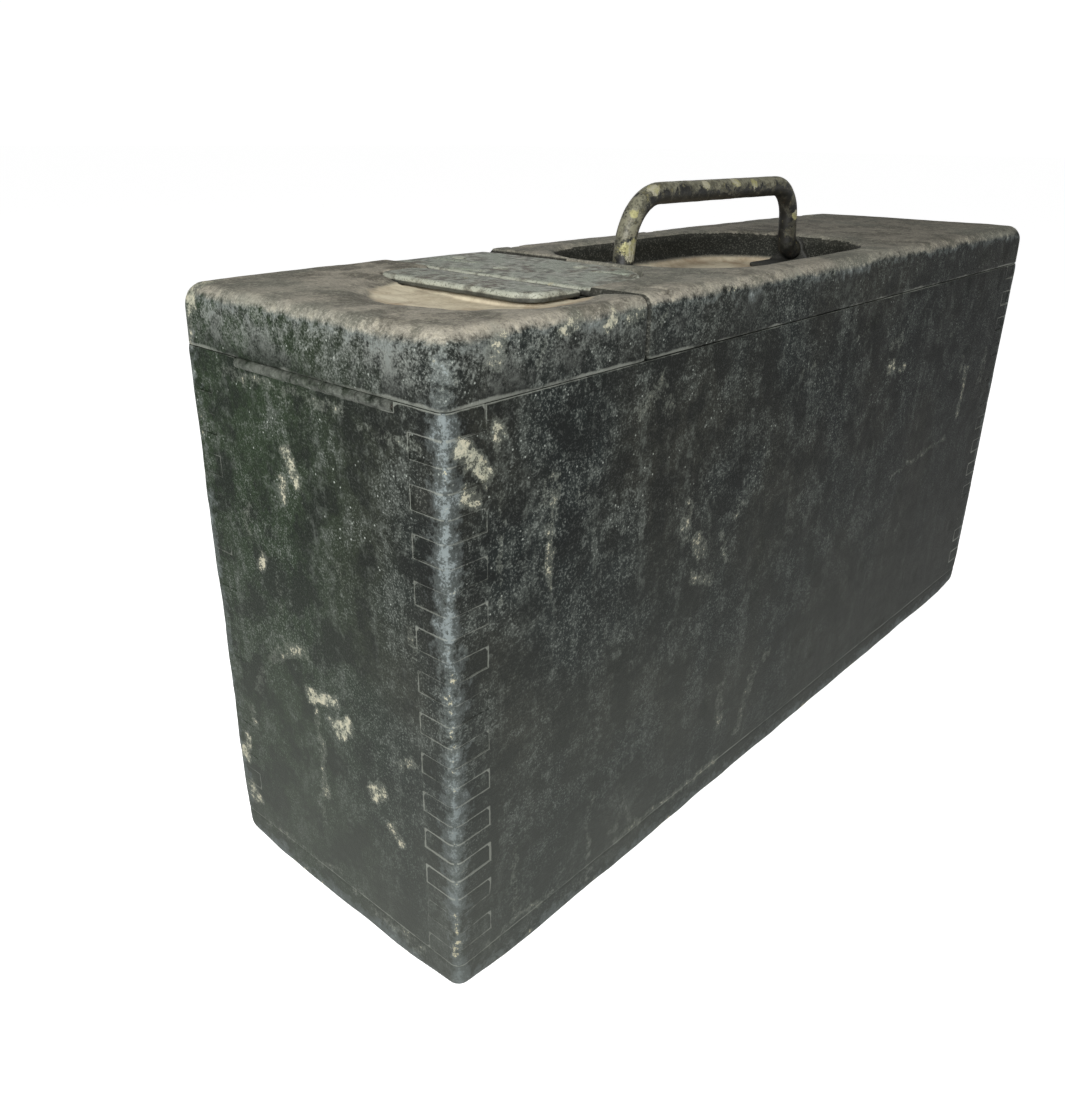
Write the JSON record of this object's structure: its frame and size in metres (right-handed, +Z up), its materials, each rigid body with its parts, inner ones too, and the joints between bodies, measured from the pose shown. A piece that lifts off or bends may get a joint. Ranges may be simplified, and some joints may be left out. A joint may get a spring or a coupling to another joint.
{
  "type": "wooden ammunition carrying case",
  "caption": "Narrow finger-jointed wooden carrying case with a hinged end lid, a thumb latch and a folding steel bail handle in a recessed top.",
  "frame": {"origin": "middle of the bottom face, on the surface the case stands on", "axes": "+X along the long side away from the hinged end, -Y the front long face, +Z up"},
  "size_m": [0.4126, 0.117, 0.2305],
  "materials": {
    "painted_wood": "worn dark green-black paint over boards",
    "worn_top_wood": "paint rubbed to grey-brown wood, dirty",
    "bare_wood": "bare softwood",
    "painted_steel": "chipped olive and black paint",
    "handle_steel": "black paint flaking to rust and bare steel",
    "bare_steel": "dull aged steel"
  },
  "bodies": {
    "case": {"bottom_board": "painted_wood", "front_wall": "painted_wood", "rear_wall": "painted_wood", "hinge_end_wall": "painted_wood", "far_end_wall": "painted_wood", "fixed_top": "worn_top_wood", "handle_batten": "bare_wood", "handle_bracket_left": "painted_steel", "handle_bracket_right": "painted_steel", "keeper_plate": "painted_steel", "strike_plate": "bare_steel", "hinge_leaf_box": "painted_steel", "hinge_pin": "bare_steel", "top_screw_1": "bare_steel", "top_screw_2": "bare_steel", "top_screw_3": "bare_steel", "top_screw_4": "bare_steel", "top_screw_5": "bare_steel", "top_screw_6": "bare_steel", "top_plug_1": "worn_top_wood", "top_plug_2": "worn_top_wood", "top_plug_3": "worn_top_wood", "top_plug_4": "worn_top_wood", "top_plug_5": "worn_top_wood", "top_plug_6": "worn_top_wood", "bottom_screw_1": "bare_steel", "bottom_screw_2": "bare_steel", "bottom_screw_3": "bare_steel", "bottom_screw_4": "bare_steel", "bottom_screw_5": "bare_steel", "bottom_screw_6": "bare_steel", "bracket_bolt_1": "bare_steel", "bracket_bolt_2": "bare_steel", "bracket_bolt_3": "bare_steel", "bracket_bolt_4": "bare_steel", "bracket_nut_1": "bare_steel", "bracket_nut_2": "bare_steel", "bracket_nut_3": "bare_steel", "bracket_nut_4": "bare_steel", "box_leaf_screw_1": "bare_steel", "box_leaf_screw_2": "bare_steel", "keeper_screw_1": "painted_steel", "keeper_screw_2": "painted_steel", "keeper_screw_3": "painted_steel", "strike_screw_1": "bare_steel", "strike_screw_2": "bare_steel"},
    "lid": {"lid_board": "worn_top_wood", "lid_batten": "bare_wood", "hinge_leaf_lid": "painted_steel", "lever_pin": "bare_steel", "lever_spring": "bare_steel", "lid_leaf_screw_1": "bare_steel", "lid_leaf_screw_2": "bare_steel", "lid_batten_screw_1": "bare_steel", "lid_batten_screw_2": "bare_steel"},
    "lever": {"thumb_lever": "painted_steel", "catch_spring": "bare_steel"},
    "handle": {"handle_bail": "handle_steel"}
  },
  "joints": [
    {"name": "lid_hinge", "type": "hinge", "parent": "case", "child": "lid", "pos_m": [-0.2052, -0.005, 0.1845], "axis": [0, -1, 0], "range_deg": [0, 115], "deforming": ["catch_spring"]},
    {"name": "lever_hinge", "type": "hinge", "parent": "lid", "child": "lever", "pos_m": [-0.1299, 0, 0.1992], "axis": [0, 1, 0], "range_deg": [0, 20], "stiffness_Nm_per_rad": 0.05, "springref_deg": -17.19, "deforming": ["lever_spring"]},
    {"name": "handle_hinge", "type": "hinge", "parent": "case", "child": "handle", "pos_m": [0, 0, 0.1985], "axis": [1, 0, 0], "range_deg": [-90, 90]}
  ]
}
